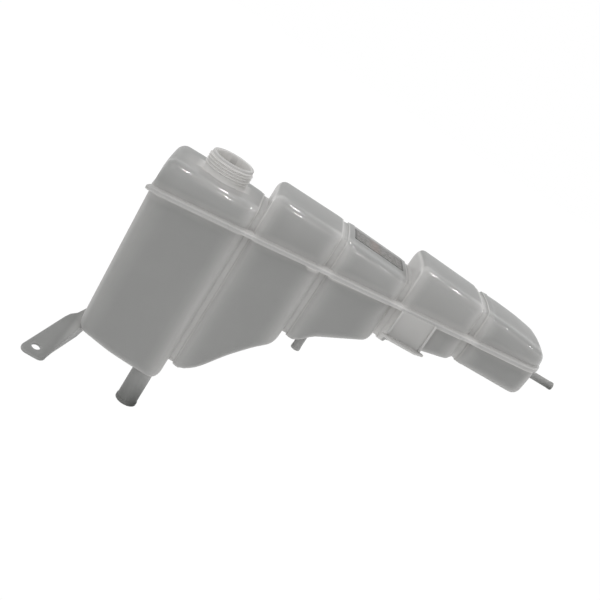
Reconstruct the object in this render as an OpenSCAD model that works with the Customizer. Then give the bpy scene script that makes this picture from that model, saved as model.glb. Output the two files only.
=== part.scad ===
// Coolant expansion tank, two welded halves with five lobes in a row.
// X runs along the tank from the filler end, -Y is the bracket side, +Z is up.
// The origin is on the filler neck's axis, level with the top of the first lobe.

/* [Body] */
// Wall thickness of both halves
wall = 2.8; // [2:0.1:4]
// Half depth of the first lobe, front to back
half_depth_first = 52; // [46:1:60]
// Half depth of the last lobe
half_depth_last = 47; // [42:1:56]
// Left end wall, measured from the neck's axis
left_end = 62.5; // [56:0.5:70]
// Right end wall, measured from the neck's axis
right_end = 411; // [400:1:440]
// Corner radius of the lobes seen from the end
corner_r = 14; // [10:1:18]
// Radius of the left end's upright corners
left_r = 14; // [11:1:18]
// Radius of the right end's upright corners
right_r = 20; // [16:1:28]
// How far the middle of each top and floor stands proud
crown = 1.5; // [0.5:0.1:3]
// Draft of the long walls, in degrees
draft = 1.5; // [0.5:0.1:2.5]

/* [Grooves] */
// Width of a groove at its floor
groove_w = 5; // [4:0.5:8]
// Depth of a groove in the long walls
groove_d = 8; // [5:0.5:10]
// Dip of a groove below the lower of its two neighbours
groove_dip = 1; // [0.5:0.5:3]
// Radius of the lobes' upright shoulders beside a groove
shoulder_r = 9; // [8:0.5:11]
// Thickness of the inner web at each groove
web_t = 2.5; // [2:0.1:3.5]
// Width of the web's border round its window
web_border = 9; // [7:0.5:12]

/* [Weld flange] */
// Thickness of each half's flange
flange_t = 2.3; // [2:0.1:3.5]
// How far the flange stands out along the front and back
flange_out = 7.5; // [5:0.5:10]
// How far the flange stands out at the two ends
flange_end_out = 0.8; // [0.6:0.2:3]
// How far the flange's front left corner is drawn out to a point
flange_lug = 11; // [6:1:13]
// Slope of the weld plane along the tank, in degrees
flange_slope = 5.3; // [4:0.1:6.5]
// Height of the weld plane on the neck's axis
flange_z = -30.9; // [-36:0.1:-26]

/* [Filler neck] */
// Bore radius of the neck
neck_bore_r = 21.5; // [19:0.5:23]
// Core radius of the neck under its thread
neck_core_r = 25.4; // [24.5:0.1:27]
// Height of the neck above the lobe
neck_h = 24; // [20:1:30]
// Height and reach of the step round the neck's foot
neck_foot = 3; // [2:0.5:5]

/* [Outlet nipple] */
// Outer radius of the outlet nipple
outlet_r = 12.5; // [11:0.5:14]
// Bore radius of the outlet nipple
outlet_bore_r = 9.5; // [7:0.5:10]
// Level of the outlet nipple's mouth
outlet_z = -287; // [-300:1:-270]
// Distance of the outlet nipple from the neck's axis
outlet_x = 33; // [28:1:36]
// Distance of the outlet nipple from the tank's middle, to the front
outlet_y = 22; // [16:1:26]
// Height of the bead at the outlet's mouth
bead_h = 5; // [3:0.5:6]
// Height of the slopes above and below the bead's land
bead_ramp = 1; // [0.5:0.1:1.5]
// How far the bead stands out
bead_out = 0.8; // [0.4:0.1:1.5]

/* [Small nipples] */
// Outer radius of the level nipple under the third lobe
level_r = 5.3; // [4.5:0.1:6]
// Bore radius of the level nipple
level_bore_r = 3.2; // [2:0.1:3.6]
// Length of the level nipple below the floor
level_len = 22.5; // [16:1:28]
// Distance of the level nipple from the neck's axis
level_x = 168.5; // [164:0.5:174]
// Distance of the level nipple from the tank's middle, to the front
level_y = 20; // [12:1:26]
// Outer radius of the vent nipple on the right end
vent_r = 4.5; // [4:0.1:5.5]
// Bore radius of the vent nipple
vent_bore_r = 2.6; // [1.5:0.1:3]
// Length of the vent nipple past the end wall
vent_len = 40; // [28:1:46]
// Level of the vent nipple's axis
vent_z = -12; // [-14:0.5:-8]
// Height and reach of the step round the vent nipple's root
vent_foot = 2; // [1:0.5:3]
// Length of the small web over the vent nipple's root
gusset_l = 9; // [6:1:12]
// Height of that web over the nipple
gusset_h = 4.5; // [3:0.5:6]
// Thickness of that web
gusset_t = 2.5; // [2:0.5:4]

/* [Bracket arm] */
// Thickness of the arm
arm_t = 3; // [2.5:0.1:4]
// Slope of the arm down to its foot, in degrees
arm_slope = 12; // [8:1:16]
// Level of the arm's upper face where it leaves the tank
arm_z = -226; // [-228:0.5:-224]
// Length of the arm from the tank's front to its foot's end
arm_len = 84; // [75:1:100]
// Distance of the arm's root from the left end wall
arm_in = 6.2; // [4:0.2:9]
// How far the foot's left edge lies left of the arm's root
foot_left = 41; // [36:1:46]
// Width of the foot
foot_w = 31; // [26:1:34]
// Radius of the foot's corners
foot_corner_r = 8; // [5:1:12]
// Radius of the foot's bolt hole
foot_hole_r = 5.2; // [4:0.1:6]
// Distance of the bolt hole from the foot's end
foot_hole_in = 16; // [16:1:26]
// Depth of the arm's rib at the tank
rib_h = 16; // [10:1:20]

/* [Clip tab] */
// Width of the clip tab
tab_w = 42; // [36:1:48]
// Height of the clip tab below the weld plane
tab_h = 37; // [32:1:42]
// Thickness of the clip tab
tab_t = 2.6; // [2:0.1:3.5]
// Width of the ribs on the clip tab's two edges
tab_rib_w = 2.2; // [1.5:0.1:3]
// Left edge of the clip tab, from the neck's axis
tab_x = 239; // [236:1:244]
// How far the tab's lip stands out to the front
lip_out = 9; // [6:1:12]
// Thickness of the tab's lip
lip_t = 2.4; // [2:0.1:3.5]
// Tilt of the tab's lip along the tank, in degrees
lip_tilt = 1.5; // [0:0.5:4]

/* [Label] */
// Length of the label
label_l = 66; // [60:1:72]
// Width of the label
label_w = 40; // [34:1:44]
// Thickness of the label
label_t = 0.4; // [0.3:0.1:0.8]

/* [Hidden] */

// Middle of each groove
grooves = [53.5, 145.5, 232.5, 322];
// Top line of each lobe
tops = [
  [[-70, 0.5], [30, 0.5], [53, -1]],
  [[53, 25], [145.5, 22]],
  [[145.5, 22.5], [232.5, 17]],
  [[232.5, 41], [322, 35]],
  [[322, 34], [348, 33], [376, 30.5], [398, 27], [450, 18]]
];
// Floor line of each lobe
floors = [
  [[-70, -226], [-45, -230.5], [-10, -236.5], [24, -239], [53.5, -240]],
  [[53.5, -211], [70, -210], [84, -198], [104, -168], [125, -142.5], [145.5, -123]],
  [[145.5, -110.5], [162, -110], [174, -95.5], [232.5, -64.5]],
  [[232.5, -58], [322, -36.5]],
  [[322, -34.5], [450, -33.5]]
];
// Radius of each lobe's left and right edge at its top
top_edges = [[11, 5], [10, 5], [5, 5], [8, 5], [5, 11]];
// Radius of each lobe's left and right edge at its floor
floor_edges = [[11, 12], [6, 6], [6, 5], [6, 5], [6, 11]];
// Arm's left edge above its foot, from its root: [shift along the tank, distance behind its hinge]
arm_left = [[0, 46], [-9, 20], [-15, 12], [-18.5, 2]];
// Arm's right edge above its foot, in the same way
arm_right = [[4, 0], [0, 12]];
// Distance of the arm's hinge line from the tank's middle
arm_y = 36;
// Profile of the rib under the arm, behind its foot: [distance behind the hinge, level]
rib_end = [[18, 2 - rib_h], [24, 0]];
// Middles of the lip's rounded corners, from the tab's left edge and front face
lip_corners = [[-4, -3.6], [8, -lip_out], [tab_w - 8, -lip_out], [tab_w + 5, -4]];
lip_corner_r = 3;
// Stand-out of the tab's ribs past its sides, and height of their feet over the lip
tab_rib_out = 0.4;
tab_rib_up = 3;
// Set-back of the tab behind the weld flange's edge
tab_back = 0.5;
arm_root = arm_in - left_end;
foot_l = arm_root - foot_left;
lobes = len(tops);
lean = tan(flange_slope);
taper = tan(draft);
arc_steps = 4;
end_steps = 4;
// Length over which an end wall's draft fades into the long walls
fade = 40;
function weld_z(x) = flange_z + lean * x;
function half_depth(x) =
  half_depth_first + (half_depth_last - half_depth_first) * (x + left_end) / (left_end + right_end);

// Where lobe i starts and ends, with its walls moved in by g
function lobe_a(i, g) = (i == 0 ? -left_end : grooves[i - 1] + groove_w / 2 + 1) + g;
function lobe_b(i, g) = (i == lobes - 1 ? right_end : grooves[i] - groove_w / 2 - 1) - g;
function radius_a(i, g) = (i == 0 ? left_r : shoulder_r) - g;
function radius_b(i, g) = (i == lobes - 1 ? right_r : shoulder_r) - g;

// Radii of lobe i's left (k = 0) and right (k = 1) edge at its top (side 1) or floor (side -1)
function edge_r(side, i, k, g) = (side > 0 ? top_edges : floor_edges)[i][k] - g;

// Rounding of a lobe's end: how far its skin lies inside at distance d
function fall(d, r) = d >= r ? 0 : r - sqrt(max(0, r * r - (r - d) * (r - d)));
function wall_fall(i, x, g) =
  max(fall(x - lobe_a(i, g), radius_a(i, g)), fall(lobe_b(i, g) - x, radius_b(i, g)));
function edge_fall(side, i, x, g) =
  max(fall(x - lobe_a(i, g), edge_r(side, i, 0, g)), fall(lobe_b(i, g) - x, edge_r(side, i, 1, g)));
// Share of the end walls' draft at x
function end_lean(x, g) =
  max(0, 1 - (x + left_end - g) / fade) - max(0, 1 - (right_end - g - x) / fade);

// Line of the top (side 1) or the floor (side -1) of lobe i, moved in by g square to its slope
function line_z(side, i, x) = lookup(x, side > 0 ? tops[i] : floors[i]);
function line_slope(side, i, x) = (line_z(side, i, x + 2) - line_z(side, i, x - 2)) / 4;
function line_in(side, i, x, g) =
  line_z(side, i, x) - side * g * sqrt(1 + pow(line_slope(side, i, x), 2));
// Level of the waist in groove i
function waist_z(side, i, g) =
  side * min(side * line_z(side, i, grooves[i]), side * line_z(side, i + 1, grooves[i]))
  - side * (groove_dip + g);
function waist_y(i, g) = half_depth(grooves[i]) - groove_d - g;

// A section is [x, half depth, level, corner radius, share of the end walls' draft]
function lobe_section(side, i, x, g) =
  let (
    f = wall_fall(i, x, g),
    near = x < (lobe_a(i, g) + lobe_b(i, g)) / 2 ? i - 1 : i,
    free = near < 0 || near > lobes - 2 || f == 0,
    y = half_depth(x) - g - f,
    z = line_in(side, i, x, g) - side * edge_fall(side, i, x, g)
  )
  [
    x,
    free ? y : max(y, waist_y(near, g) + 0.2),
    free ? z : side * max(side * z, side * waist_z(side, near, g) + 0.2),
    max(3, corner_r - g - 0.7 * f),
    end_lean(x, g)
  ];
function waist_section(side, i, x, g) =
  [x, waist_y(i, g), waist_z(side, i, g), max(3, corner_r - g - 4), 0];

function rounding_x(a, r, way) =
  [for (k = [0:end_steps]) a + way * r * (1 - cos(90 * k / end_steps))];
function knots(side, i, g) =
  let (
    from = lobe_a(i, g) + radius_a(i, g) + 1.5,
    to = lobe_b(i, g) - radius_b(i, g) - 1.5,
    line = side > 0 ? tops[i] : floors[i]
  )
  [for (p = line) if (p[0] > from && p[0] < to) p[0]];
function lobe_x(side, i, g) = concat(
  rounding_x(lobe_a(i, g), radius_a(i, g), 1),
  knots(side, i, g),
  [for (k = [end_steps:-1:0]) rounding_x(lobe_b(i, g), radius_b(i, g), -1)[k]]
);
function sections(side, g) = [
  for (i = [0:lobes - 1])
    for (s = concat(
      [for (x = lobe_x(side, i, g)) lobe_section(side, i, x, g)],
      i < lobes - 1 ? [
        waist_section(side, i, grooves[i] - groove_w / 2 - g, g),
        waist_section(side, i, grooves[i] + groove_w / 2 + g, g)
      ] : []
    )) s
];

// Outline of a section over its top or floor, front to back, starting lift away from the weld
function arch(side, s, lift) =
  let (
    weld = weld_z(s[0]),
    r = s[3],
    rise = side * (s[2] - weld) - r,
    y_top = s[1] - taper * rise,
    bow = crown * min(1, s[1] / 40),
    half = concat(
      [[s[1], weld + side * lift], [s[1] - taper * rise / 2 + bow / 2, weld + side * rise / 2]],
      [for (k = [0:arc_steps]) [
        y_top - r + r * cos(90 * k / arc_steps),
        s[2] - side * r + side * r * sin(90 * k / arc_steps)
      ]],
      [[(y_top - r) / 2, s[2] + side * bow * 0.75]]
    )
  )
  concat(
    [for (p = half) [drafted_x(s, p[1]), -p[0], p[1]]],
    [[drafted_x(s, s[2] + side * bow), 0, s[2] + side * bow]],
    [for (k = [len(half) - 1:-1:0]) [drafted_x(s, half[k][1]), half[k][0], half[k][1]]]
  );
function drafted_x(s, z) = s[0] + s[4] * taper * abs(z - weld_z(s[0]));

// Point of the flange's edge beside the body at x, with the lug at the front left only
function flange_edge(x, lug) =
  let (a = -left_end + left_r, b = right_end - right_r)
  x < a ? flange_corner(x, a, left_r, acos((a - x) / left_r), -1, lug)
  : x > b ? flange_corner(x, b, right_r, acos((x - b) / right_r), 1, 0)
  : [x, half_depth(x) + flange_out];
function flange_corner(x, mid, r, turn, way, lug) =
  let (point = lug * max(0, 1 - abs(turn - 45) / 22.5))
  [
    mid + way * (r + flange_end_out + point) * cos(turn),
    half_depth(x) - r + (r + flange_out + point * 0.6) * sin(turn)
  ];

// Outer skin of a section with the flange's edge at both ends
function skin(side, s) =
  let (
    front = flange_edge(s[0], flange_lug),
    back = flange_edge(s[0], 0),
    f = weld_z(front[0]),
    b = weld_z(back[0]),
    t = side * flange_t
  )
  concat(
    [[front[0], -front[1], f], [front[0], -front[1], f + t]],
    arch(side, s, flange_t),
    [[back[0], back[1], b + t], [back[0], back[1], b]]
  );

function flip(faces, on) = on ? [for (f = faces) [for (k = [len(f) - 1:-1:0]) f[k]]] : faces;
function strip(n, rows, base) = [
  for (i = [0:rows - 2])
    for (j = [0:n - 2])
      let (a = base + i * n + j, b = a + n)
      each [[a, a + 1, b + 1], [a, b + 1, b]]
];
function cap(n, base) = [for (j = [1:n - 2]) [base, base + j, base + j + 1]];
function quad(a, b, c, d) = [[a, b, c], [a, c, d]];
// End of the outer skin: the end wall, the flange's face and its edge
function skin_end(n, base) = concat(
  cap(n - 4, base + 2),
  quad(base + 1, base + 2, base + n - 3, base + n - 2),
  quad(base, base + 1, base + n - 2, base + n - 1)
);

// One half with its flange: outer skin, inner skin and the weld face between them
module shell(side) {
  outer = [for (s = sections(side, 0)) skin(side, s)];
  inner = [for (s = sections(side, wall)) arch(side, s, 0)];
  n = len(outer[0]);
  m = len(inner[0]);
  rows = len(outer);
  last = (rows - 1) * n;
  mid = rows * n;
  end = mid + (rows - 1) * m;
  weld_face = concat(
    [for (i = [0:rows - 2]) each concat(
      quad(i * n, (i + 1) * n, mid + (i + 1) * m, mid + i * m),
      quad((i + 2) * n - 1, (i + 1) * n - 1, mid + (i + 1) * m - 1, mid + (i + 2) * m - 1)
    )],
    quad(n - 1, 0, mid, mid + m - 1),
    quad(last, last + n - 1, end + m - 1, end)
  );
  faces = concat(
    strip(n, rows, 0),
    flip(skin_end(n, 0), true),
    skin_end(n, last),
    flip(strip(m, rows, mid), true),
    cap(m, mid),
    flip(cap(m, end), true),
    weld_face
  );
  polyhedron(
    points = [for (a = concat(outer, inner)) each a],
    faces = flip(faces, side < 0),
    convexity = 8
  );
}

// Inner web in groove i, with a window that lets the coolant pass
module web(side, i) {
  g = wall / 2;
  s = waist_section(side, i, grooves[i], g);
  weld = weld_z(grooves[i]);
  tall = side * (s[2] - weld);
  window_y = s[1] - web_border;
  window_h = tall - 2 * web_border;
  r = min(10, window_h / 2 - 0.5);
  translate([grooves[i] - web_t / 2, 0, 0])
    rotate([90, 0, 90])
      linear_extrude(web_t)
        difference() {
          polygon([for (p = arch(side, s, 0.2)) [p[1], p[2]]]);
          hull() {
            for (y = [r - window_y, window_y - r]) {
              translate([y, weld + side * (web_border + r)]) circle(r = r, $fn = 32);
              translate([y, weld + side * (web_border + window_h - r)]) circle(r = r, $fn = 32);
            }
          }
        }
}

module webs(side) {
  for (i = [0:lobes - 2]) web(side, i);
}

module neck() {
  translate([0, 0, -wall / 2]) cylinder(r = neck_core_r, h = neck_h + wall / 2, $fn = 96);
  translate([0, 0, -wall / 2]) cylinder(r = neck_core_r + neck_foot, h = crown + neck_foot, $fn = 96);
}

module upper_shell() {
  color("gainsboro")
    difference() {
      union() {
        shell(1);
        webs(1);
        neck();
      }
      translate([0, 0, -2 * wall]) cylinder(r = neck_bore_r, h = neck_h + 4 * wall, $fn = 96);
    }
}

// Straight nipple with a bead at its mouth, standing on z = 0 and pointing up
module nipple(r, len) {
  out = bead_out * r / outlet_r;
  rotate_extrude($fn = 64)
    polygon([
      [0, 0],
      [r, 0],
      [r, len - bead_h],
      [r + out, len - bead_h + bead_ramp],
      [r + out, len - bead_ramp],
      [r + out - bead_ramp, len],
      [0, len]
    ]);
}

// The outlet nipple starts inside the wall of the crowned floor
module outlet_nipple() {
  top = line_z(-1, 0, outlet_x) + (wall - crown) / 2;
  translate([outlet_x, -outlet_y, top]) rotate([180, 0, 0]) nipple(outlet_r, top - outlet_z);
}

// The level nipple is cut off along the steep floor, inside its wall
module level_nipple() {
  floor_z = line_z(-1, 2, level_x);
  slope = atan(line_slope(-1, 2, level_x));
  rise = 2 * level_r * tan(slope);
  size = 6 * level_r;
  difference() {
    translate([level_x, -level_y, floor_z + rise]) rotate([180, 0, 0]) nipple(level_r, level_len + rise);
    translate([level_x, -level_y, floor_z + wall / 2 / cos(slope) - crown / 2])
      rotate([0, -slope, 0])
        translate([-size / 2, -size / 2, 0])
          cube(size);
  }
}

module vent_nipple() {
  translate([right_end - wall, 0, vent_z])
    rotate([0, 90, 0]) {
      nipple(vent_r, vent_len + wall);
      cylinder(r = vent_r + vent_foot, h = wall + vent_foot + 1, $fn = 64);
    }
}

// Small web over the vent nipple's root
module vent_gusset() {
  translate([right_end - wall, gusset_t / 2, vent_z + vent_r - 1])
    rotate([90, 0, 0])
      linear_extrude(gusset_t)
        polygon([[0, 0], [gusset_l + wall, 0], [gusset_l, gusset_h], [0, gusset_h + 1.5]]);
}

// Ways through the three nipples into the tank
module bores() {
  through = 3 * wall;
  outlet_top = line_z(-1, 0, outlet_x) + through;
  level_top = line_z(-1, 2, level_x) + 3 * through;
  level_low = line_z(-1, 2, level_x) - level_len - 1;
  translate([outlet_x, -outlet_y, outlet_z - 1])
    cylinder(r = outlet_bore_r, h = outlet_top - outlet_z + 1, $fn = 64);
  translate([level_x, -level_y, level_low])
    cylinder(r = level_bore_r, h = level_top - level_low, $fn = 48);
  translate([right_end - through, 0, vent_z])
    rotate([0, 90, 0])
      cylinder(r = vent_bore_r, h = through + vent_len + 1, $fn = 48);
}

// Places its children on the arm's upper face, with the arm's hinge line at y = 0
module on_arm() {
  translate([0, -arm_y, arm_z]) rotate([arm_slope, 0, 0]) children();
}

module arm_outline() {
  foot_y = foot_corner_r - arm_len;
  polygon(concat(
    [for (p = arm_left) [arm_root + p[0], p[1]]],
    [[foot_l, foot_y], [foot_l + foot_w, foot_y]],
    [for (p = arm_right) [arm_root + p[0], p[1]]]
  ));
  hull() {
    translate([foot_l + foot_corner_r, foot_y]) circle(r = foot_corner_r, $fn = 32);
    translate([foot_l + foot_w - foot_corner_r, foot_y]) circle(r = foot_corner_r, $fn = 32);
  }
}

module bracket_arm() {
  hole_x = foot_l + foot_w / 2 + 0.5;
  on_arm() {
    difference() {
      translate([0, 0, -arm_t]) linear_extrude(arm_t) arm_outline();
      translate([hole_x, foot_hole_in - arm_len, -2 * arm_t])
        cylinder(r = foot_hole_r, h = 3 * arm_t, $fn = 48);
    }
    arm_rib();
  }
}

// Rib under the arm's right edge, deepest at the tank
module arm_rib() {
  run = arm_len - foot_corner_r - 4;
  root_x = arm_root + arm_right[0][0];
  translate([root_x, 0, 0])
    rotate([0, 0, atan((foot_l + foot_w - root_x) / run)])
      translate([-arm_t, 0, 0])
        rotate([90, 0, 90])
          linear_extrude(arm_t)
            polygon(concat([[-run, 0], [-run, -arm_t], [0, -rib_h]], rib_end));
}

// Plate in the X-Z plane from the tab's foot up into the weld flange
module tab_plate(x0, x1, low, t, top) {
  rotate([90, 0, 0])
    linear_extrude(t)
      polygon([[x0, low], [x1, low], [x1, weld_z(x1) - top], [x0, weld_z(x0) - top]]);
}

// Tab with its two ribs, whose tops end at different levels inside the flange
module clip_tab() {
  x1 = tab_x + tab_w;
  y = half_depth(tab_x) + flange_out;
  low = weld_z(tab_x + tab_w / 2) - tab_h;
  foot = low + tab_rib_up;
  top = 0.6 * flange_t;
  translate([0, tab_t - tab_back - y, 0]) tab_plate(tab_x, x1, low, tab_t, top / 2);
  translate([0, -y, 0]) {
    tab_plate(tab_x - tab_rib_out, tab_x + tab_rib_w, foot, tab_rib_w, top);
    tab_plate(x1 - tab_rib_w, x1 + tab_rib_out, foot, tab_rib_w, top);
  }
  translate([tab_x, tab_t - tab_back - y, low - lip_t / 2]) tab_lip();
}

// Leaf-shaped lip under the tab
module tab_lip() {
  rotate([0, -lip_tilt, 0])
    linear_extrude(lip_t)
      hull() {
        translate([0, -0.1]) square([tab_w, 0.1]);
        for (p = lip_corners) translate(p) circle(r = lip_corner_r, $fn = 32);
      }
}

module lower_shell() {
  color("gainsboro")
    difference() {
      union() {
        shell(-1);
        webs(-1);
        outlet_nipple();
        level_nipple();
        vent_nipple();
        vent_gusset();
        bracket_arm();
        clip_tab();
      }
      bores();
    }
}

// Label laid over the crown of the third lobe's top
module label() {
  x = (grooves[1] + grooves[2]) / 2 + 1.3;
  z = line_z(1, 2, x);
  slope = atan(line_slope(1, 2, x));
  flat = half_depth(x) - corner_r - taper * (z - weld_z(x));
  seat = 0.02;
  front = label_w / 2 - 3;
  back = label_w / 2 + 3;
  line = [
    [-front, label_seat(front, flat)],
    [0, crown],
    [flat / 2, label_seat(flat / 2, flat)],
    [back, label_seat(back, flat)]
  ];
  color("lightgray")
    translate([x, 0, z + seat])
      rotate([0, -slope, 0])
        rotate([90, 0, 90])
          linear_extrude(label_l, center = true)
            polygon(concat(line, [for (k = [len(line) - 1:-1:0]) [line[k][0], line[k][1] + label_t]]));
}
// Height of the crowned top at distance y from the tank's middle
function label_seat(y, flat) =
  y < flat / 2 ? crown * (1 - 0.5 * y / flat) : crown * 1.5 * (1 - y / flat);

upper_shell();
lower_shell();
label();
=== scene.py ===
"""Looks of the coolant expansion tank: two welded polypropylene shells and a label."""
import math

import bmesh
import bpy
import numpy as np
from mathutils import Matrix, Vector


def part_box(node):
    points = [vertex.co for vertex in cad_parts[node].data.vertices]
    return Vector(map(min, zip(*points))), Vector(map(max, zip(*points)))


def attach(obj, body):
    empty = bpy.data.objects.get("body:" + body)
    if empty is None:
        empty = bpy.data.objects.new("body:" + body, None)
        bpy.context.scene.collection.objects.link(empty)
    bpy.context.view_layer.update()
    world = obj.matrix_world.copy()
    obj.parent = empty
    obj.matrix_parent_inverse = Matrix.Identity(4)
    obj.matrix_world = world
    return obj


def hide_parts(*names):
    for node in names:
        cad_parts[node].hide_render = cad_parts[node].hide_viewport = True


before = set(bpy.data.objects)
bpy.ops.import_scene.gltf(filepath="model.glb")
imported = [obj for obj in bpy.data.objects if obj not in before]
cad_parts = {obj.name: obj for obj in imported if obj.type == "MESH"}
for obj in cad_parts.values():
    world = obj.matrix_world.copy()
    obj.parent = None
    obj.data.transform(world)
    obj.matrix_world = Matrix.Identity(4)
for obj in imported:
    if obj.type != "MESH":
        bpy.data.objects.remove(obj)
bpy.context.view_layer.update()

# Camera
# A 60 mm lens about 1.1 m in front of the tank and a little above it, turned about its own
# axis so that the tank runs down to the right as in the photograph.
eye = (-0.0064, -1.0837, 0.2781)
pan, tilt, roll = math.radians(8), math.radians(18), math.radians(33)
ahead = np.array([math.cos(tilt) * math.sin(pan), math.cos(tilt) * math.cos(pan), -math.sin(tilt)])
level_right = np.array([math.cos(pan), -math.sin(pan), 0])
level_up = np.cross(level_right, ahead)
camera = bpy.data.objects.new("camera", bpy.data.cameras.new("camera"))
bpy.context.scene.collection.objects.link(camera)
camera.data.lens = 60
camera.data.sensor_width = 36
camera.matrix_world = Matrix(np.array([
    [*(math.cos(roll) * level_right + math.sin(roll) * level_up), 0],
    [*(math.cos(roll) * level_up - math.sin(roll) * level_right), 0],
    [*-ahead, 0],
    [*eye, 1],
]).T.tolist())
bpy.context.scene.camera = camera


# Upper shell
# The tank's upper half: five chambers in a row, moulded in natural polypropylene with the
# threaded filler neck, and a flange round its rim that is hot-plate welded to the lower shell.
wall = 2.8
half_depth_first, half_depth_last = 52, 47
left_end, right_end = 62.5, 411
left_r, right_r = 14, 20
corner_r = 14
crown = 1.5
taper = math.tan(math.radians(1.5))
groove_w, groove_d, groove_dip = 5, 8, 1
shoulder_r = 9
fillet = 1.2
grooves = [53.5, 145.5, 232.5, 322]
lobes = len(grooves) + 1
tops = [
    [[-70, 0.5], [30, 0.5], [53, -1]],
    [[53, 25], [145.5, 22]],
    [[145.5, 22.5], [232.5, 17]],
    [[232.5, 40.9], [322, 35]],
    [[322, 34], [348, 33], [376, 30.5], [398, 27], [450, 18]],
]
floors = [
    [[-70, -226], [-45, -230.5], [-10, -236.5], [24, -239], [53.5, -240]],
    [[53.5, -211], [70, -210], [84, -198], [104, -168], [125, -142.5], [145.5, -123]],
    [[145.5, -110.5], [162, -110], [174, -95.5], [232.5, -64.5]],
    [[232.5, -58], [322, -36.5]],
    [[322, -34.5], [450, -33.5]],
]
top_edges = [[11, 5], [10, 5], [5, 5], [8, 5], [5, 11]]
floor_edges = [[11, 12], [6, 6], [6, 5], [6, 5], [6, 11]]
lean_fade = 40
flange_t, flange_out, flange_end_out, flange_lug = 2.3, 7.5, 0.8, 11
flange_z, flange_slope = -30.9, math.tan(math.radians(5.3))
flange_round, ear_at, ear_half, ear_narrow = 0.7, 45, 22.5, 0.6
corner_least, corner_shrink = 3, 0.7
line_blur, slope_step = np.linspace(-5, 5, 9), 2
arc_steps, wall_steps, top_steps, wall_crowding = 9, 12, 9, 1.7
round_steps, middle_steps = 12, 14


def weld_z(x):
    """Level of the oblique weld plane at x."""
    return flange_z + flange_slope * x


def half_depth(x):
    """Half of the tank's depth at the weld plane, falling evenly from the first lobe to the last."""
    share = (x + left_end) / (left_end + right_end)
    return half_depth_first + (half_depth_last - half_depth_first) * share


def along(line, x):
    """A broken line's level at x, run on straight past its ends and averaged over 10 mm to round its bends."""
    px, pz = np.array(line, float).T
    at = np.asarray(x, float)[..., None] + line_blur
    first = pz[0] + (at - px[0]) * (pz[1] - pz[0]) / (px[1] - px[0])
    last = pz[-1] + (at - px[-1]) * (pz[-1] - pz[-2]) / (px[-1] - px[-2])
    level = np.where(at < px[0], first, np.where(at > px[-1], last, np.interp(at, px, pz)))
    return level.mean(axis=-1)


def slope_of(line, x):
    """The slope of a broken line at x, over a few millimetres."""
    return (along(line, x + slope_step) - along(line, x - slope_step)) / (2 * slope_step)


def fall(d, r):
    """How far a quarter round of radius r lies inside its straight edge at distance d from the end."""
    left = np.clip(r - d, 0, r)
    return r - np.sqrt(np.maximum(r * r - left * left, 0))


def waist(side, i, g):
    """Half depth and level of the groove's bottom between lobes i and i + 1, moved in by g."""
    c = grooves[i]
    lines = tops if side > 0 else floors
    lower = min(side * along(lines[i], c), side * along(lines[i + 1], c))
    return half_depth(c) - groove_d - g, side * (lower - groove_dip - g)


def lobe_stations(side, i, g):
    """Cuts across lobe i: rows of x, half depth, level, corner radius and share of the end walls'
    draft. The cuts crowd where its ends are rounded, and never lie deeper than the grooves."""
    lines, edges = (tops, top_edges) if side > 0 else (floors, floor_edges)
    first, last = i == 0, i == lobes - 1
    a = (-left_end if first else grooves[i - 1] + groove_w / 2 + 1) + g
    b = (right_end if last else grooves[i] - groove_w / 2 - 1) - g
    ra, rb = (left_r if first else shoulder_r) - g, (right_r if last else shoulder_r) - g
    turn = 1 - np.cos(np.linspace(0, math.pi / 2, round_steps))
    middle = np.linspace(a + ra, b - rb, middle_steps)[1:-1]
    x = np.concatenate([a + ra * turn, middle, (b - rb * turn)[::-1]])
    f = np.maximum(fall(x - a, ra), fall(b - x, rb))
    edge = np.maximum(fall(x - a, edges[i][0] - g), fall(b - x, edges[i][1] - g))
    slope = slope_of(lines[i], x)
    y = half_depth(x) - g - f
    z = side * along(lines[i], x) - g * np.sqrt(1 + slope ** 2) - edge
    for k, near in ((i - 1, x < (a + b) / 2), (i, x >= (a + b) / 2)):
        if 0 <= k < lobes - 1:
            wy, wz = waist(side, k, g)
            held = near & (f > 0)
            y = np.where(held, np.maximum(y, wy + fillet), y)
            z = np.where(held, np.maximum(z, side * wz + fillet), z)
    lean = np.maximum(0, 1 - (x + left_end - g) / lean_fade)
    lean = lean - np.maximum(0, 1 - (right_end - g - x) / lean_fade)
    return np.column_stack([x, y, side * z, np.maximum(corner_least, corner_r - g - corner_shrink * f), lean])


def groove_stations(side, i, g):
    """Cuts across groove i: a flat bottom with a small quarter round up to the lobe at each side."""
    wy, wz = waist(side, i, g)
    half = groove_w / 2 + g
    turn = np.sin(np.radians([30, 55, 75, 90]))
    rise = 1 - np.cos(np.radians([30, 55, 75, 90]))
    x = np.concatenate([-(half + 0.96 * turn)[::-1], np.linspace(-half, half, 5), half + 0.96 * turn])
    up = fillet * np.concatenate([rise[::-1], np.zeros(5), rise])
    rows = np.ones_like(x)
    r = max(corner_least, corner_r - g - 4)
    return np.column_stack([grooves[i] + x, wy + up, wz + side * up, rows * r, rows * 0])


def stations(side, g):
    """All cuts across one half, from the left end to the right end."""
    cuts = []
    for i in range(lobes):
        cuts.append(lobe_stations(side, i, g))
        if i < lobes - 1:
            cuts.append(groove_stations(side, i, g))
    return np.concatenate(cuts)


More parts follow.
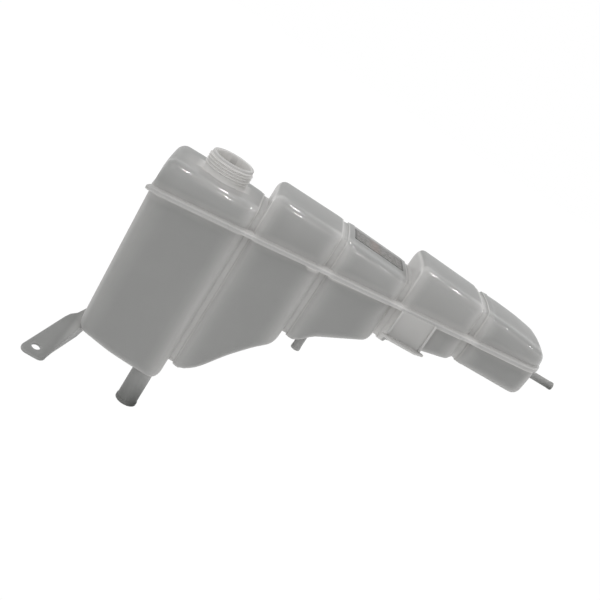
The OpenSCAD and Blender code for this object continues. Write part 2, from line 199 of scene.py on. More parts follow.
def arch(cuts, side, lift):
    """Half an outline at each cut, from the weld plane to the tank's middle: a drafted wall with a
    slight belly, a round corner, and a top crowned as a parabola. Returns x, y and z arrays."""
    x, y, z, r, lean = (cuts[:, k, None] for k in range(5))
    weld = weld_z(x)
    rise = side * (z - weld) - r
    bow = crown * np.minimum(1, y / 40)
    t = np.linspace(0, 1, wall_steps)[None, :-1] ** wall_crowding
    wall_y = y - taper * rise * t + bow / 2 * 4 * t * (1 - t)
    wall_z = weld + side * (lift + (rise - lift) * t)
    q = np.linspace(0, math.pi / 2, arc_steps)[None, :]
    y_top = y - taper * rise
    arc_y, arc_z = y_top - r + r * np.cos(q), z - side * r + side * r * np.sin(q)
    s = np.linspace(1, 0, top_steps)[None, 1:]
    top_y, top_z = (y_top - r) * s, z + side * bow * (1 - s ** 2)
    ys = np.concatenate([wall_y, arc_y, top_y], axis=1)
    zs = np.concatenate([wall_z, arc_z, top_z], axis=1)
    return x + lean * taper * np.abs(zs - weld), ys, zs


def flange_edge(x, lug):
    """The flange's outer edge beside each cut: it follows the corners' rounds, and lug draws it out to a
    point."""
    a, b = -left_end + left_r, right_end - right_r
    turn = np.arccos(np.clip(np.where(x < a, (a - x) / left_r, (x - b) / right_r), 0, 1))
    ear = np.where(x < a, lug, 0) * np.maximum(0, 1 - np.abs(np.degrees(turn) - ear_at) / ear_half)
    mid, way, r = np.where(x < a, a, b), np.where(x < a, -1, 1), np.where(x < a, left_r, right_r)
    corner_x = mid + way * (r + flange_end_out + ear) * np.cos(turn)
    corner_y = half_depth(x) - r + (r + flange_out + ear * ear_narrow) * np.sin(turn)
    straight = (x >= a) & (x <= b)
    return np.where(straight, x, corner_x), np.where(straight, half_depth(x) + flange_out, corner_y)


def flange_rim(cuts, side, lug):
    """The flange from its edge at the weld plane, over its rounded border, to the wall's foot."""
    x, y = cuts[:, 0], cuts[:, 1]
    ex, ey = flange_edge(x, lug)
    gap = np.hypot(x - ex, y - ey)
    ux, uy = (x - ex) / gap, (y - ey) / gap
    border = np.minimum(flange_round, 0.4 * gap)
    foot = np.minimum(fillet, 0.5 * gap)
    top = side * flange_t
    rows = [(0, 0), (0, top - side * border), (0.3 * border, top - side * 0.3 * border), (border, top)]
    xs = [ex + ux * d for d, _ in rows] + [x - ux * foot, x - ux * foot * 0.3]
    ys = [ey + uy * d for d, _ in rows] + [y - uy * foot, y - uy * foot * 0.3]
    zs = [weld_z(ex) + h for _, h in rows] + [weld_z(x) + top, weld_z(x) + top + side * foot * 0.3]
    return np.column_stack(xs), np.column_stack(ys), np.column_stack(zs)


def both_sides(front, back):
    """Joins a front and a back half outline, given as x, y, z arrays from rim to middle, into whole rows."""
    whole = [np.concatenate([f, b[:, -2::-1]], axis=1) for f, b in zip(front, back)]
    y = np.concatenate([-front[1], back[1][:, -2::-1]], axis=1)
    return np.stack([whole[0], y, whole[2]], axis=-1)


def strip_faces(rows, cols, base, close_rows=False, close_cols=False):
    """Squares of a grid of points numbered row by row from base, closed round in either direction."""
    i = np.arange(rows if close_rows else rows - 1)[:, None]
    j = np.arange(cols if close_cols else cols - 1)[None, :]
    a, b = base + i * cols, base + (i + 1) % rows * cols
    return np.stack([a + j, a + (j + 1) % cols, b + (j + 1) % cols, b + j], axis=-1).reshape(-1, 4).tolist()


def ladder_faces(cols, base):
    """Closes the end of a shell: rungs from the front half of its last row to the back half."""
    n = cols // 2
    return [[base + j, base + j + 1, base + cols - 2 - j, base + cols - 1 - j] for j in range(n - 1)] + [
        [base + n - 1, base + n, base + n + 1]]


def solid(name, points, faces):
    """A closed mesh object from points in millimetres, turned inside out if its volume comes out below
    nothing."""
    points = np.asarray(points, float).reshape(-1, 3) * 0.001
    mesh = bpy.data.meshes.new(name)
    mesh.from_pydata(points.tolist(), [], faces)
    bm = bmesh.new()
    bm.from_mesh(mesh)
    bmesh.ops.remove_doubles(bm, verts=bm.verts, dist=1e-7)
    if bm.calc_volume(signed=True) < 0:
        bmesh.ops.reverse_faces(bm, faces=bm.faces)
    bm.to_mesh(mesh)
    bm.free()
    piece = bpy.data.objects.new(name, mesh)
    bpy.context.scene.collection.objects.link(piece)
    return piece


def shell(name, side):
    """One half of the tank: outer skin with its flange, inner skin, and the weld face between them."""
    outer_cuts, inner_cuts = stations(side, 0), stations(side, wall)
    skin = arch(outer_cuts, side, flange_t + fillet)
    front = [np.concatenate([r, s], axis=1) for r, s in zip(flange_rim(outer_cuts, side, flange_lug), skin)]
    back = [np.concatenate([r, s], axis=1) for r, s in zip(flange_rim(outer_cuts, side, 0), skin)]
    outer = both_sides(front, back)
    lining = arch(inner_cuts, side, 0)
    inner = both_sides(lining, lining)
    rows, n, m = len(outer), outer.shape[1], inner.shape[1]
    base = rows * n
    faces = strip_faces(rows, n, 0) + [f[::-1] for f in strip_faces(rows, m, base)]
    faces += [f[::-1] for f in ladder_faces(n, 0)] + ladder_faces(n, (rows - 1) * n)
    faces += ladder_faces(m, base) + [f[::-1] for f in ladder_faces(m, base + (rows - 1) * m)]
    for i in range(rows - 1):
        o, p, q = i * n, base + i * m, (i + 1) * n
        faces.append([o, q, p + m, p])
        faces.append([q + n - 1, q - 1, p + m - 1, p + 2 * m - 1])
    last, end = (rows - 1) * n, base + (rows - 1) * m
    faces.append([n - 1, 0, base, base + m - 1])
    faces.append([last, last + n - 1, end + m - 1, end])
    return solid(name, np.concatenate([outer.reshape(-1, 3), inner.reshape(-1, 3)]), faces)


def placed(points, origin, axis):
    """Points of a shape that stands on z = 0, turned so that its z runs along axis and moved to origin."""
    z = np.array(axis, float) / np.linalg.norm(axis)
    x = np.cross([0, 1, 0], z) if abs(z[1]) < 0.9 else np.array([1.0, 0, 0])
    x /= np.linalg.norm(x)
    return points @ np.array([x, np.cross(z, x), z]) + np.array(origin, float)


def turned(name, profile, origin, axis=(0, 0, 1), steps=96, swell=None):
    """A solid turned on a lathe from a closed profile of radius and height. swell adds to the radius at an
    angle and height, for a thread."""
    r, h = np.array(profile, float).T
    q = np.linspace(0, 2 * math.pi, steps, endpoint=False)[:, None]
    if swell is not None:
        r = r + swell(q, h[None, :])
    points = np.stack([r * np.cos(q), r * np.sin(q), h + 0 * q], axis=-1).reshape(-1, 3)
    faces = strip_faces(steps, len(h), 0, close_rows=True, close_cols=True)
    return solid(name, placed(points, origin, axis), faces)


def round_edge(r, h, size, start, stop, steps=5):
    """Points of a quarter round of a turned profile, about its centre at radius r and height h."""
    q = np.radians(np.linspace(start, stop, steps))
    return np.column_stack([r + size * np.cos(q), h + size * np.sin(q)]).tolist()


def combine(piece, tool, operation):
    """Joins tool to piece, or cuts it away, and removes it."""
    change = piece.modifiers.new("change", "BOOLEAN")
    change.operation = operation
    change.solver = "MANIFOLD"
    change.object = tool
    done = bpy.data.meshes.new_from_object(piece.evaluated_get(bpy.context.evaluated_depsgraph_get()))
    piece.modifiers.clear()
    piece.data = done
    bpy.data.objects.remove(tool)


def drill(piece, r, origin, axis, length):
    """Cuts a round hole of radius r from origin along axis."""
    profile = [(0, 0), (r, 0), (r, length), (0, length)]
    combine(piece, turned("drill", profile, origin, axis, steps=72), "DIFFERENCE")


def web(name, side, i):
    """The wall that parts two chambers, standing in groove i, as a thin slab open in its middle."""
    cut = groove_stations(side, i, wall / 2)[groove_middle:groove_middle + 1]
    _, y, z = arch(cut, side, web_gap)
    ring = np.stack([np.concatenate([-y[0], y[0, -2::-1]]), np.concatenate([z[0], z[0, -2::-1]])], axis=-1)
    weld = weld_z(grooves[i])
    height = abs(cut[0, 2] - weld)
    centre = np.array([0, weld + side * height / 2])
    window = centre + (ring - centre) * [1 - web_frame / cut[0, 1], 1 - 2 * web_frame / height]
    loop = np.concatenate([ring, window])
    points = [[x, *p] for x in (grooves[i] - web_t / 2, grooves[i] + web_t / 2) for p in loop]
    n = len(ring)
    far = 2 * n
    faces = []
    for j in range(n):
        k = (j + 1) % n
        a, b, c, d = j, k, n + k, n + j
        faces += [[a, b, c, d], [far + d, far + c, far + b, far + a],
                  [a, far + a, far + b, b], [d, c, far + c, far + d]]
    return solid(name, points, faces)


neck_bore_r, neck_core_r, neck_h, neck_foot = 21.5, 25.4, 24, 4.5
mouth_outer_r, mouth_inner_r = 1.2, 1
thread_h, thread_pitch, thread_top, thread_turns, thread_step = 1.9, 3.4, 20.5, 4.2, 0.25
thread_flat, thread_flank, thread_run_out = 1.25, 2.1, 8
web_t, web_gap, web_frame, groove_middle = 2.5, 0.3, 9, 6


def thread(q, h):
    """Height of the screw thread at angle q and height h: a rounded ridge that climbs one pitch a turn and
    fades at both ends. It leaves the foot and the bore alone."""
    drop = (thread_top - h) / thread_pitch
    turn = np.floor(drop + q / (2 * math.pi) + 0.5)
    off = np.abs(drop + q / (2 * math.pi) - turn) * 2
    travel = turn - q / (2 * math.pi)
    ends = np.clip(travel * thread_run_out, 0, 1) * np.clip((thread_turns - travel) * thread_run_out, 0, 1)
    outside = (h > neck_foot) & (np.arange(h.size)[None, :] < h.size - mouth_points)
    return np.where(outside, thread_h * np.clip(thread_flat - off * thread_flank, 0, 1) ** 0.8 * ends, 0)


upper = shell("upper_shell_moulding", 1)
for i in range(lobes - 1):
    combine(upper, web("web", 1, i), "UNION")
neck_mouth = (round_edge(neck_core_r - mouth_outer_r, neck_h - mouth_outer_r, mouth_outer_r, 0, 90)
              + round_edge(neck_bore_r + mouth_inner_r, neck_h - mouth_inner_r, mouth_inner_r, 90, 180))
mouth_points = len(neck_mouth)
neck_profile = (
    [(neck_bore_r, -wall - 0.5), (neck_core_r + 5, -wall + 0.5)]
    + round_edge(neck_core_r + neck_foot, neck_foot + 0.7, neck_foot, 270, 180, 7)
    + [(neck_core_r, h) for h in np.arange(neck_foot + 1, neck_h - mouth_outer_r, thread_step)]
    + neck_mouth
)
combine(upper, turned("neck", neck_profile, (0, 0, 0), steps=180, swell=thread), "UNION")
drill(upper, neck_bore_r, (0, 0, -8), (0, 0, 1), neck_h + 20)


def coordinates(piece):
    """The x, y and z of a piece's points in millimetres, as three arrays."""
    points = np.empty(len(piece.data.vertices) * 3)
    piece.data.vertices.foreach_get("co", points)
    return points.reshape(-1, 3).T * 1000


def fade(distance, reach):
    """A share that falls evenly from 1 at distance 0 to 0 at reach, and stays there."""
    return np.clip(1 - distance / reach, 0, 1)


# Tones of painted light and shade, and of thick milky plastic, as shares of the way from panel grey to a pale
# white, or below 0 towards a painted shade grey, and the millimetres over which they fade.
shoulder_tone, right_shoulder_tone, back_shoulder_share, shoulder_fade = 0.46, 0.28, 0.3, 15
groove_tone, groove_line_upper, groove_line_lower = 0.5, 0.75, 0.5
flange_tone, under_flange_tone, beside_flange_tone, crossing_tone = 0.46, 0.95, 0.32, 0.3
bore_tone, neck_tone, mouth_tone, halo_tone, halo_fade = 1, 0.8, 0.5, 0.34, 22
upper_edge_tone, lower_edge_tone, left_tone, upper_wall_tone, fourth_wall_tone = 0.2, 0.3, 0.2, 0.07, 0.15
back_shade, rim_shade, lobe_shade, left_shade = 0.25, 0.5, 0.2, 0.25


def tones(piece):
    """How pale or dark and how glossy the plastic looks at each point. The tone is 0 on a flat panel, up to 1
    where the moulding is thick and milky and where light is painted in, and below 0 where shade is painted in.
    The gloss is highest on the front top edges."""
    x, y, z = coordinates(piece)
    side = np.where(z > weld_z(x), 1, -1)
    lobe = np.searchsorted(grooves, x)
    level = np.zeros_like(x)
    for i in range(lobes):
        level = np.where(lobe == i, np.where(side > 0, along(tops[i], x), along(floors[i], x)), level)
    lift = np.abs(z - weld_z(x))
    in_y = half_depth(x) - taper * lift - np.abs(y)
    in_z = side * (level - z)
    top = (side > 0) & (in_z < 3)

    # The grooves, part milky plastic and part painted light: a pale bottom with a paler line at each side, and
    # shoulders that fade away from it. On the lower half the shoulders on the grooves' right are fainter, and
    # on the tops so are those behind the front.
    past = x[:, None] - np.array(grooves)
    from_groove = np.abs(past).min(axis=1)
    right_of = np.where(past > 0, past, 99).min(axis=1) < 30
    shoulder = np.exp(-(from_groove / shoulder_fade) ** 2) * np.where(
        right_of & (side < 0), right_shoulder_tone, shoulder_tone)
    shoulder = np.where(top & (y > -28), shoulder * back_shoulder_share, shoulder)
    line = np.exp(-((from_groove - 4) / 1.3) ** 2) * np.where(side > 0, groove_line_upper, groove_line_lower)
    bottom = np.maximum(np.where(from_groove < 3, groove_tone, 0), line)

    # The weld flange, paler as thick milky plastic, and painted light on the line under its front edge and on
    # the walls next to it, where the flange shades them.
    flange = np.where((lift < flange_t + 0.4) & (in_y < 0.5), flange_tone, 0)
    under = (side < 0) & (lift >= flange_t + 0.4) & (lift < flange_t + 3) & (y < 0) & (from_groove > 5)
    flange = np.where(under, under_flange_tone, flange)
    beside_flange = fade(lift - flange_t, 9) * (beside_flange_tone + crossing_tone * fade(from_groove - 4.5, 9))

    # The filler neck, painted light as if lit through its walls: palest in its bore, less so at its mouth, with
    # a halo of painted light on the top around its foot.
    out = np.hypot(x, y)
    at_neck = (z > 1.5) & (out < neck_core_r + 6)
    in_bore = out < neck_bore_r + 0.3
    neck = np.where(at_neck, np.where(in_bore, bore_tone, neck_tone), 0)
    neck = np.where(at_neck & (z > neck_h - 2.5) & ~in_bore, mouth_tone, neck)
    around_neck = np.where(z > -8, np.exp(-(np.maximum(0, out - 28) / halo_fade) ** 2) * halo_tone, 0)

    # Painted light: round edges, the left end and the upper walls are a little paler. Painted shade: the tops
    # darken towards the back and at their back rim, more on the third and fifth chambers, and the upper left
    # end darkens too.
    rounding = np.clip(np.minimum(in_y, in_z) / 4, 0, 1) * np.where(side > 0, upper_edge_tone, lower_edge_tone)
    left_band = fade(x + left_end, 30) * left_tone
    above = np.where((side > 0) & (in_y < 6), np.where(lobe == 3, fourth_wall_tone, upper_wall_tone), 0)
    back = back_shade * np.clip((y + 15) / 45, 0, 1) + rim_shade * np.clip((y - half_depth(x) + 14) / 6, 0, 1)
    shade = np.where(top, back + np.where((lobe == 2) | (lobe == 4), lobe_shade, 0), 0)
    shade = shade + np.where(side > 0, left_shade * fade(x + left_end, 25), 0)

    nearby = beside_flange + left_band + around_neck + above
    light = np.maximum.reduce([rounding, shoulder, bottom, flange, nearby])
    gloss = np.where(side > 0, np.clip(2 - in_z / 12, 0, 1) * np.clip(1.7 - (y + half_depth(x)) / 14, 0, 1), 0)
    return np.maximum(light - shade, neck), gloss


def finish_plastic(piece, tone, gloss):
    """Smooth shading with crisp creases, and the tone and the gloss kept as attributes of the mesh."""
    piece.data.shade_smooth()
    piece.data.set_sharp_from_angle(angle=math.radians(35))
    for name, values in (("tone", tone), ("gloss", gloss)):
        layer = piece.data.attributes.new(name, "FLOAT", "POINT")
        layer.data.foreach_set("value", np.asarray(values, np.float32))


finish_plastic(upper, *tones(upper))


class Sock:
    """A socket with arithmetic: an expression on it adds the Math nodes that work it out."""

    def __init__(self, tree, socket):
        self.tree, self.socket = tree, socket

    def math(self, operation, *values):
        return node(self.tree, "ShaderNodeMath", {"operation": operation}, dict(enumerate((self, *values))))

    def __add__(self, other):
        return self.math("ADD", other)

    def __sub__(self, other):
        return self.math("SUBTRACT", other)

    def __rsub__(self, other):
        return (self * -1) + other

    def __mul__(self, other):
        return self.math("MULTIPLY", other)

    __radd__ = __add__
    __rmul__ = __mul__


def node(tree, kind, settings, inputs, output=0):
    """Adds a node: its settings first, then a value or a link for each input socket. Returns one output."""
    made = tree.nodes.new(kind)
    for key, value in settings.items():
        setattr(made, key, value)
    for key, value in inputs.items():
        if isinstance(value, Sock):
            tree.links.new(value.socket, made.inputs[key])
        else:
            made.inputs[key].default_value = value
    return Sock(tree, made.outputs[output]) if made.outputs else None


def new_material(name):
    """An empty node material with its output, and the tree."""
    material = bpy.data.materials.new(name)
    material.use_nodes = True
    tree = material.node_tree
    tree.nodes.clear()
    return material, tree


def blend_colours(tree, share, dark, light):
    """A mix of two colours by share."""
    return node(tree, "ShaderNodeMix", {"data_type": "RGBA"}, {0: share, 6: dark, 7: light}, 2)


# The plastic: grey on the panels, paler where the tone marks thick milky plastic or paints light and darker
# where it paints shade, with faint clouds and a fine grain in it, and a gloss coat where the gloss says.
panel_grey = (0.342, 0.343, 0.337, 1)
# The pale colour stands for thick milky plastic and for painted light, the dark one for painted shade.
milky_and_lit_white = (0.785, 0.773, 0.757, 1)
painted_shade_grey = (0.075, 0.078, 0.072, 1)
plastic, tree = new_material("natural_polypropylene")
where = node(tree, "ShaderNodeTexCoord", {}, {}, 3)
tone = node(tree, "ShaderNodeAttribute", {"attribute_name": "tone"}, {}, 2)
gloss = node(tree, "ShaderNodeAttribute", {"attribute_name": "gloss"}, {}, 2)
clouds = node(tree, "ShaderNodeTexNoise", {}, {"Vector": where, "Scale": 14, "Detail": 3})
grain = node(tree, "ShaderNodeTexNoise", {}, {"Vector": where, "Scale": 420, "Detail": 2})
share = tone + (clouds - 0.5) * 0.12
body = blend_colours(tree, share.math("MAXIMUM", 0), panel_grey, milky_and_lit_white)
body = blend_colours(tree, (tone * -1).math("MAXIMUM", 0), body, painted_shade_grey)
bump = node(tree, "ShaderNodeBump", {}, {"Strength": 0.12, "Distance": 0.0004, "Height": grain})
skin = node(tree, "ShaderNodeBsdfPrincipled", {}, {
    "Base Color": body, "Roughness": (clouds - 0.5) * 0.12 + 0.36, "Normal": bump,
    "IOR": 1.49, "Specular IOR Level": 0.06, "Coat Weight": gloss + 0.06,
    "Coat Roughness": 0.06, "Coat IOR": 1.45,
    "Subsurface Weight": 0.5, "Subsurface Radius": (1, 1, 1), "Subsurface Scale": 0.005,
})
node(tree, "ShaderNodeOutputMaterial", {}, {"Surface": skin})
upper.data.materials.clear()
upper.data.materials.append(plastic)
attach(upper, "root")
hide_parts("upper_shell")


# Lower shell
# The tank's deep lower half in the same moulding plastic. Its outlet, level and vent nipples, the
# bracket arm with a rib under it and the clip tab grow out of it without a seam.
outlet_r, outlet_bore_r = 12.5, 9.5
outlet_x, outlet_y, outlet_z = 33, -22, -287
bead_h, bead_ramp, bead_out = 5, 1, 0.8
level_r, level_bore_r, level_len = 5.3, 3.2, 22.5
level_x, level_y = 168.5, -20
vent_r, vent_bore_r, vent_len, vent_z = 4.5, 2.6, 40, -12
trim_half, trim_h, drill_in, drill_past = 9, 40, 12, 18
gusset_l, gusset_h, gusset_t, gusset_nose, gusset_rise = 9, 4.5, 2.5, 3, 1.5
arm_t, arm_slope, arm_y, arm_z, arm_len = 3, math.radians(12), -36, -226, 84
foot_w, foot_hole_r, foot_hole_in = 31, 5.2, 16
rib_h = 16
tab_x, tab_w, tab_h, tab_t, tab_rib_w, tab_rib_up, tab_rib_out = 239, 42, 37, 2.6, 2.2, 3, 0.4
lip_out, lip_t, lip_left, lip_sink, lip_slope = 9, 2.4, 8, 1.2, math.tan(math.radians(1.5))


def nipple(piece, name, r, bore, origin, axis, length, trim=None):
    """Joins a hose nipple: a tube with a rounded bead at its mouth, standing at origin, with its bore cut
    through. What trim covers of its root is cut away first."""
    out = bead_out * r / outlet_r
    profile = (
        [(0, 0), (r, 0), (r, length - bead_h - 0.3)]
        + [(r + out * (3 - 2 * s) * s * s, length - bead_h + bead_ramp * s) for s in np.linspace(0.1, 1, 6)]
        + round_edge(r + out - bead_ramp, length - bead_ramp, bead_ramp, 0, 90, 6)
        + [(0, length)]
    )
    tube = turned(name, profile, origin, axis)
    if trim is not None:
        combine(tube, trim, "DIFFERENCE")
    combine(piece, tube, "UNION")
    inner = np.array(origin, float) - drill_in * np.array(axis, float)
    drill(piece, bore, inner, axis, length + drill_in + drill_past)


def rounded(points, radii, steps=7):
    """A closed outline whose corners are rounded: each corner becomes an arc of its own radius."""
    corners = np.array(points, float)
    done = []
    for k, p in enumerate(corners):
        if radii[k] == 0:
            done.append(p[None, :])
            continue
        a, b = corners[k - 1] - p, corners[(k + 1) % len(corners)] - p
        a, b = a / np.linalg.norm(a), b / np.linalg.norm(b)
        half = math.acos(np.clip(a @ b, -1, 1)) / 2
        centre = p + (a + b) / np.linalg.norm(a + b) * radii[k] / math.sin(half)
        start, stop = p + a * radii[k] / math.tan(half) - centre, p + b * radii[k] / math.tan(half) - centre
        t = np.linspace(0, 1, steps)[:, None]
        swing = math.acos(np.clip(start @ stop / radii[k] ** 2, -1, 1))
        done.append(centre + (np.sin((1 - t) * swing) * start + np.sin(t * swing) * stop) / math.sin(swing))
    return np.concatenate(done)


def slab(name, outline, thickness, edge, place):
    """A plate with softened edges: its outline at four levels, the first and last moved in by edge. place turns
    its points from the plate's own frame into the tank's."""
    outline = np.asarray(outline, float)
    ahead_of, behind = np.roll(outline, -1, 0) - outline, outline - np.roll(outline, 1, 0)
    normals = [np.stack([d[:, 1], -d[:, 0]], 1) / np.linalg.norm(d, axis=1)[:, None]
               for d in (ahead_of, behind)]
    normal = normals[0] + normals[1]
    normal /= np.maximum(1, np.einsum("ij,ij->i", normals[0], normals[1]) + 1)[:, None]
    area = np.sum(outline[:, 0] * np.roll(outline[:, 1], -1) - np.roll(outline[:, 0], -1) * outline[:, 1])
    small = outline - normal * edge * np.sign(area)
    n = len(outline)
    levels = [(small, 0), (outline, edge), (outline, thickness - edge), (small, thickness)]
    points = np.concatenate([np.column_stack([o, np.full(n, h)]) for o, h in levels])
    faces = strip_faces(4, n, 0, close_cols=True)
    faces += [list(range(n))[::-1], list(range(3 * n, 4 * n))]
    return solid(name, place(points), faces)


def on_arm(points):
    """From the arm's frame, with its upper face at z = 0 and the tank's front edge at y = 0, to the tank's."""
    c, s = math.cos(arm_slope), math.sin(arm_slope)
    x, y, z = points.T
    return np.column_stack([x, arm_y + y * c - z * s, arm_z + y * s + z * c])


def in_front(depth):
    """Places a plate drawn in x and z so that it stands upright, its near face at y = depth."""
    return lambda points: np.column_stack([points[:, 0], depth + points[:, 2], points[:, 1]])


lower = shell("lower_shell_moulding", -1)
for i in range(lobes - 1):
    combine(lower, web("web", -1, i), "UNION")

outlet_top = float(along(floors[0], outlet_x)) + (wall - crown) / 2
floor_z = float(along(floors[2], level_x))
floor_tilt = float(slope_of(floors[2], level_x))
level_top = floor_z + 2 * level_r * floor_tilt
inside_z = floor_z + wall / 2 * math.hypot(1, floor_tilt) - crown / 2
square = np.array([[-1, -1], [1, -1], [1, 1], [-1, 1]]) * trim_half + [level_x, level_y]
above_floor = slab("above_floor", square, trim_h, 0.1,
                   lambda p: p + np.outer(inside_z + (p[:, 0] - level_x) * floor_tilt, [0, 0, 1]))
gusset_foot = vent_z + vent_r - 1
gusset = [[right_end - wall, gusset_foot], [right_end + gusset_l, gusset_foot],
          [right_end + gusset_l - gusset_nose, gusset_foot + gusset_h],
          [right_end - wall, gusset_foot + gusset_rise + gusset_h]]
combine(lower, slab("gusset", gusset, gusset_t, 0.5, in_front(-gusset_t / 2)), "UNION")
nipple(lower, "outlet", outlet_r, outlet_bore_r, (outlet_x, outlet_y, outlet_top), (0, 0, -1),
       outlet_top - outlet_z)
nipple(lower, "level", level_r, level_bore_r, (level_x, level_y, level_top), (0, 0, -1),
       level_top - floor_z + level_len, above_floor)
nipple(lower, "vent", vent_r, vent_bore_r, (right_end - wall, 0, vent_z), (1, 0, 0), vent_len + wall)

root_x = -left_end + 6.2
foot_l = root_x - 41
arm = rounded(
    [[root_x, 46], [root_x - 9, 20], [root_x - 15, 12], [root_x - 18.5, 2], [foot_l, -arm_len],
     [foot_l + foot_w, -arm_len], [foot_l + foot_w, 8 - arm_len], [root_x + 4, 0], [root_x, 12]],
    [0, 6, 6, 10, 8, 7, 20, 3, 3])
combine(lower, slab("arm", arm, arm_t, 0.5, lambda p: on_arm(p - [0, 0, arm_t])), "UNION")
run = arm_len - 12
rib_turn = math.atan((foot_l + foot_w - root_x - 4) / run)
rib = [[-run, -arm_t], [0, -rib_h], [18, 2 - rib_h], [24, -0.6], [-run, -0.6]]


def under_arm(points):
    """Places the rib, drawn along its length and height, under the arm's right edge."""
    c, s = math.cos(rib_turn), math.sin(rib_turn)
    along_it, height, across = points.T
    across = across - arm_t
    return on_arm(np.column_stack([root_x + 4 + across * c - along_it * s, across * s + along_it * c, height]))


combine(lower, slab("rib", rib, arm_t, 0.4, under_arm), "UNION")
hole = on_arm(np.array([[foot_l + foot_w / 2 + 0.5, foot_hole_in - arm_len, 8]]))[0]
drill(lower, foot_hole_r, hole, (0, math.sin(arm_slope), -math.cos(arm_slope)), 20)

tab_right = tab_x + tab_w
tab_y = float(half_depth(tab_x)) + flange_out
tab_low = float(weld_z(tab_x + tab_w / 2)) - tab_h


def tab_plate(name, x0, x1, low, thickness, sink, depth):
    """An upright plate from low up into the weld flange, sloped at its top as the weld plane."""
    outline = [[x0, low], [x1, low], [x1, weld_z(x1) - sink], [x0, weld_z(x0) - sink]]
    combine(lower, slab(name, outline, thickness, 0.4, in_front(depth)), "UNION")


tab_plate("tab", tab_x, tab_right, tab_low, tab_t, 0.7, -tab_y - 0.5)
for name, x0, x1 in (("tab_rib_left", tab_x - tab_rib_out, tab_x + tab_rib_w),
                     ("tab_rib_right", tab_right - tab_rib_w, tab_right + tab_rib_out)):
    tab_plate(name, x0, x1, tab_low + tab_rib_up, tab_rib_w, 1.4, -tab_y - tab_rib_w)
lip = rounded([[-1, -tab_t - 1], [13, -lip_out - 3], [tab_w + 2, -lip_out - 3], [tab_w + 16, -4],
               [tab_w + 10, 0], [8, 0]], [2.5, 5, 5, 2.5, 1, 1])


def under_tab(points):
    """Places the lip, drawn from above, under the tab's lower edge, with its right end a little higher."""
    x, y, z = points.T
    return np.column_stack(
        [tab_x - lip_left + x, -tab_y + tab_t - 0.6 + y, tab_low - lip_sink + z + x * lip_slope])


combine(lower, slab("lip", lip, lip_t, 0.6, under_tab), "UNION")


def lower_tones(piece):
    """The body's tones and gloss, with painted shade on the nipples and the bracket, and painted light on the
    tab and on what is beside it."""
    tone, gloss = tones(piece)
    x, y, z = coordinates(piece)
    outlet = z < along(floors[0], outlet_x) - 1
    vent = x > right_end + 1
    level = (np.hypot(x - level_x, y - level_y) < level_r + 2) & (z < along(floors[2], level_x) - 1)
    bracket = (x < -left_end - 0.6) & (z < arm_z + 8) | (y < -54) & (z < -180)
    on_rib = np.abs(x - root_x - 4 + math.tan(rib_turn) * (y - arm_y)) < 4
    tab = (y < -tab_y + tab_t) & (z < weld_z(x) - flange_t - 0.5) & (x > tab_x - 12) & (x < tab_right + 12)
    front = (y < 0) & (z < weld_z(x))
    # Painted light on the front walls round the tab and left of it, where the tab and the flange shade them.
    beside_tab = fade(np.abs(x - tab_x - tab_w / 2), 45) * fade(weld_z(x) - z, 60) * 0.6
    tone = np.where(front, np.maximum(tone, beside_tab), tone)
    left_of_tab = front & (np.abs(x - tab_x + 5) < 7) & (z < weld_z(x) - 2)
    tone = np.where(left_of_tab, np.maximum(tone, 0.75), tone)
    # Painted shade on the outlet, deepening towards its bottom and its right side.
    tone = np.where(outlet, -0.3 - 0.4 * np.clip((-268 - z) / 20, 0, 1)
                    - 0.45 * np.clip((x - outlet_x) / outlet_r, 0, 1), tone)
    tone = np.where(level, 0.1, tone)
    # Painted shade under the vent with painted light on its top, and painted shade on the bracket, deeper on
    # its rib.
    tone = np.where(vent, np.interp(z, [vent_z - 2, vent_z + 3], [-0.7, 0.1]), tone)
    tone = np.where(bracket, np.where(on_rib, -0.2, -0.05), tone)
    # Painted light on the tab, stronger on its lip below.
    return np.where(tab, np.where(z < tab_low + 2, 0.5, 0.3), tone), gloss


finish_plastic(lower, *lower_tones(lower))
lower.data.materials.clear()
lower.data.materials.append(plastic)
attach(lower, "root")
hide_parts("lower_shell")


# Label
# A thin printed film stuck on the third chamber's top. Its print is kept to plain fields: a grey
# ground, a warm patch in the middle and dark bars at both ends.
label_film, tree = new_material("label_film")
label_box = [np.array(c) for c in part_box("label")]
label_from, label_to = float(label_box[0][0]), float(label_box[1][0])
where = node(tree, "ShaderNodeTexCoord", {}, {}, 3)
parts = node(tree, "ShaderNodeSeparateXYZ", {}, {0: where})
share_x = (parts - label_from) * (1 / (label_to - label_from))
ends = (share_x - 0.5).math("ABSOLUTE").math("GREATER_THAN", 0.46)
patch = ((share_x - 0.42).math("ABSOLUTE") * -9 + 1.3).math("MAXIMUM", 0).math("MINIMUM", 1)
smudge = node(tree, "ShaderNodeTexNoise", {}, {"Vector": where, "Scale": 300, "Detail": 4})
print_rows = (smudge - 0.35) * 3
ground = blend_colours(tree, print_rows, (0.09, 0.088, 0.082, 1), (0.27, 0.26, 0.25, 1))
ground = blend_colours(tree, patch * 0.45, ground, (0.24, 0.17, 0.145, 1))
ground = blend_colours(tree, ends * 0.6, ground, (0.03, 0.03, 0.029, 1))
film = node(tree, "ShaderNodeBsdfPrincipled", {}, {
    "Base Color": ground, "Roughness": smudge * 0.15 + 0.4, "IOR": 1.5})
node(tree, "ShaderNodeOutputMaterial", {}, {"Surface": film})
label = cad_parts["label"]
label.data.materials.clear()
label.data.materials.append(label_film)


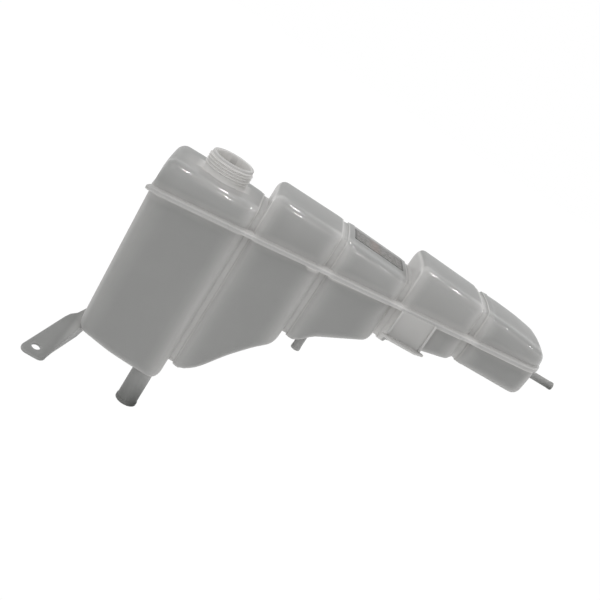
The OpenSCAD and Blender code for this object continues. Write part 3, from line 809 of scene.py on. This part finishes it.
# Studio
# A pale floor well below the hanging tank and a white surround. One wide lamp from the left front gives the
# soft light, and eleven narrow panes of light draw the streaks on the front top edges.
floor_level, floor_half, floor_t = -750, 9000, 10
corners = [(x * floor_half, y * floor_half) for x, y in ((-1, -1), (1, -1), (1, 1), (-1, 1))]
floor = solid("floor", [[x, y, z] for z in (floor_level, floor_level - floor_t) for x, y in corners],
              [[0, 1, 2, 3], [7, 6, 5, 4], [0, 4, 5, 1], [1, 5, 6, 2], [2, 6, 7, 3], [3, 7, 4, 0]])


def seen_directly(tree):
    """1 for camera, glossy and transmission rays, which see plain white, and 0 for rays that carry light."""
    path = tree.nodes.new("ShaderNodeLightPath")
    return (Sock(tree, path.outputs["Is Camera Ray"]) + Sock(tree, path.outputs["Is Glossy Ray"])
            + Sock(tree, path.outputs["Is Transmission Ray"])).math("MINIMUM", 1)


floor_paint, tree = new_material("floor_paint")
matte = node(tree, "ShaderNodeBsdfPrincipled", {}, {"Base Color": (0.9, 0.9, 0.9, 1), "Roughness": 0.9})
glow = node(tree, "ShaderNodeEmission", {}, {"Color": (1, 1, 1, 1), "Strength": 1.04})
mixed = node(tree, "ShaderNodeMixShader", {}, {0: seen_directly(tree) * 0.92, 1: matte, 2: glow})
node(tree, "ShaderNodeOutputMaterial", {}, {"Surface": mixed})
floor.data.materials.append(floor_paint)

world = bpy.data.worlds.new("studio")
bpy.context.scene.world = world
world.use_nodes = True
tree = world.node_tree
tree.nodes.clear()
around = node(tree, "ShaderNodeBackground", {}, {
    "Color": (1, 1, 1, 1), "Strength": seen_directly(tree) * 0.2 + 0.8})
node(tree, "ShaderNodeOutputWorld", {}, {"Surface": around})


def lamp(name, place, aim, size, power, lights_matt):
    """An area lamp of two sides at place, turned to aim, both in metres. A pane is seen only in gloss, so its
    lights_matt is False."""
    light = bpy.data.lights.new(name, "AREA")
    light.shape = "RECTANGLE"
    light.size, light.size_y = size
    light.energy = power
    made = bpy.data.objects.new(name, light)
    bpy.context.scene.collection.objects.link(made)
    z = np.array(place, float) - np.array(aim, float)
    z /= np.linalg.norm(z)
    x = np.cross([0, 1.0, 0], z)
    x /= np.linalg.norm(x)
    made.matrix_world = Matrix(np.array([[*x, 0], [*np.cross(z, x), 0], [*z, 0], [*place, 1]]).T.tolist())
    made.visible_diffuse = lights_matt


lamp("key", (-0.9, -1.1, 1.5), (0.15, 0, -0.05), (0.9, 0.9), 2.5, True)
large, small, dim = ((0.022, 0.16), 0.7), ((0.018, 0.12), 0.4), ((0.018, 0.2), 0.2)
panes = [("back_pane", (x, 0.38, 1.21), 0.15, large) for x in (0.032, 0.237, 0.652, 0.721)]
panes += [("front_pane", (x, -0.577, 1.18), 0.15, small) for x in (0.055, 0.265, 0.477)]
panes += [
    ("side_pane", (0.878, -0.042, 1.218), 0.3, large),
    ("left_pane", (-0.069, -0.212, 1.286), 0, large),
    ("middle_pane", (0.547, -0.033, 1.26), 0.19, dim),
    ("right_pane", (1.056, -0.013, 1.139), 0.38, dim),
]
for name, place, aim_x, (size, power) in panes:
    lamp(name, place, (aim_x, 0, 0), size, power, False)

bpy.context.scene.view_settings.view_transform = "Standard"
